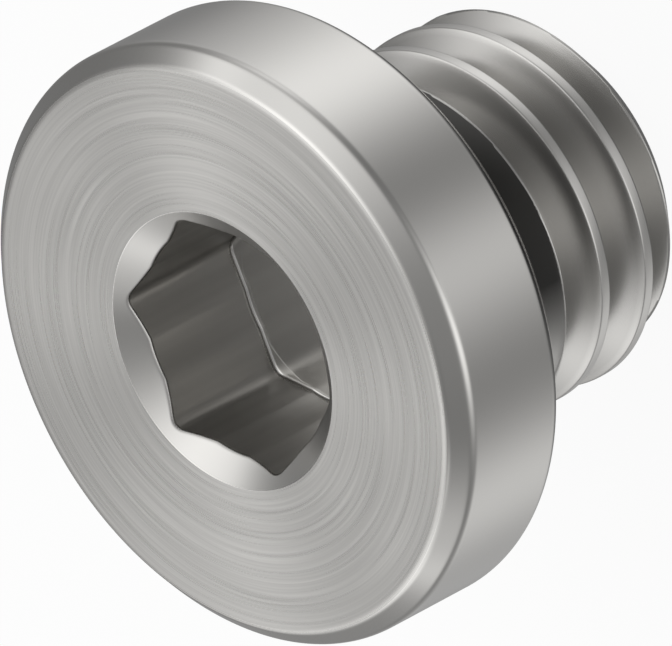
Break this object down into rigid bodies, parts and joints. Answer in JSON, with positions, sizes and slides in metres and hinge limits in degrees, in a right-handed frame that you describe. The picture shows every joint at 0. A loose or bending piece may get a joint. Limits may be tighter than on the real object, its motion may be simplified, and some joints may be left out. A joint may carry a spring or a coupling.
{
  "type": "screw plug",
  "caption": "Turned screw plug: flat round head with a countersunk hex socket, a relief behind the head and a short metric thread.",
  "frame": {"origin": "middle of the thread's end face, which the plug stands on", "axes": "+Z along the plug's axis, from the threaded end to the head's face; +X has no feature of its own, and one corner of the hex socket lies 11 degrees below it"},
  "size_m": [0.008, 0.008, 0.006],
  "materials": {
    "steel": "satin turned stainless steel, with fine concentric turning marks on the head's face"
  },
  "bodies": {
    "root": {"screw_plug": "steel"}
  },
  "joints": []
}
